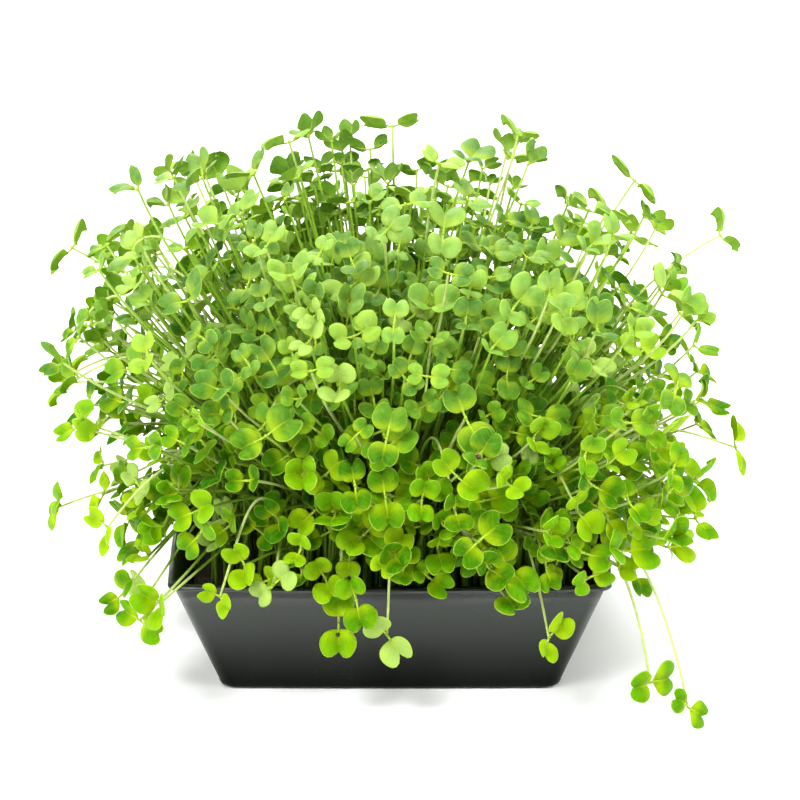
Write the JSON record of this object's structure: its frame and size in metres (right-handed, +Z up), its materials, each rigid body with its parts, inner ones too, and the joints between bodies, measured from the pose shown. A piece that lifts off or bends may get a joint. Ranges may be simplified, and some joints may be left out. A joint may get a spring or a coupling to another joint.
{
  "type": "microgreens tray",
  "caption": "Square slant-walled plastic growing tray, filled with growing medium and a dense spreading crop of two-leaved brassica seedlings.",
  "frame": {"origin": "centre of the tray's flat underside, where it rests", "axes": "+Z up out of the tray, -Y towards the front side, +X to the right seen from the front"},
  "size_m": [0.2191, 0.1809, 0.1578],
  "materials": {
    "tray": "satin",
    "growing_medium": "matte, crumbly",
    "seedlings": "soft, slightly waxy"
  },
  "bodies": {
    "root": {"tray": "tray", "growing_medium": "growing_medium", "seedling_tuft_01": "seedlings", "seedling_tuft_02": "seedlings", "seedling_tuft_03": "seedlings", "seedling_tuft_04": "seedlings", "seedling_tuft_05": "seedlings", "seedling_tuft_06": "seedlings", "seedling_tuft_07": "seedlings", "seedling_tuft_08": "seedlings", "seedling_tuft_09": "seedlings", "seedling_tuft_10": "seedlings", "seedling_tuft_11": "seedlings", "seedling_tuft_12": "seedlings", "seedling_tuft_13": "seedlings", "seedling_tuft_14": "seedlings", "seedling_tuft_15": "seedlings", "seedling_tuft_16": "seedlings", "seedling_tuft_17": "seedlings", "seedling_tuft_18": "seedlings", "seedling_tuft_19": "seedlings", "seedling_tuft_20": "seedlings", "seedling_tuft_21": "seedlings", "seedling_tuft_22": "seedlings", "seedling_tuft_23": "seedlings", "seedling_tuft_24": "seedlings", "seedling_tuft_25": "seedlings", "seedling_tuft_26": "seedlings", "seedling_tuft_27": "seedlings", "seedling_tuft_28": "seedlings", "seedling_tuft_29": "seedlings", "seedling_tuft_30": "seedlings", "seedling_tuft_31": "seedlings", "seedling_tuft_32": "seedlings", "seedling_tuft_33": "seedlings", "seedling_tuft_34": "seedlings", "seedling_tuft_35": "seedlings", "seedling_tuft_36": "seedlings", "seedling_tuft_37": "seedlings", "seedling_tuft_38": "seedlings", "seedling_tuft_39": "seedlings", "seedling_tuft_40": "seedlings", "seedling_tuft_41": "seedlings", "seedling_tuft_42": "seedlings", "seedling_tuft_43": "seedlings", "seedling_tuft_44": "seedlings", "seedling_tuft_45": "seedlings", "seedling_tuft_46": "seedlings", "seedling_tuft_47": "seedlings", "seedling_tuft_48": "seedlings", "seedling_tuft_49": "seedlings"}
  },
  "joints": []
}
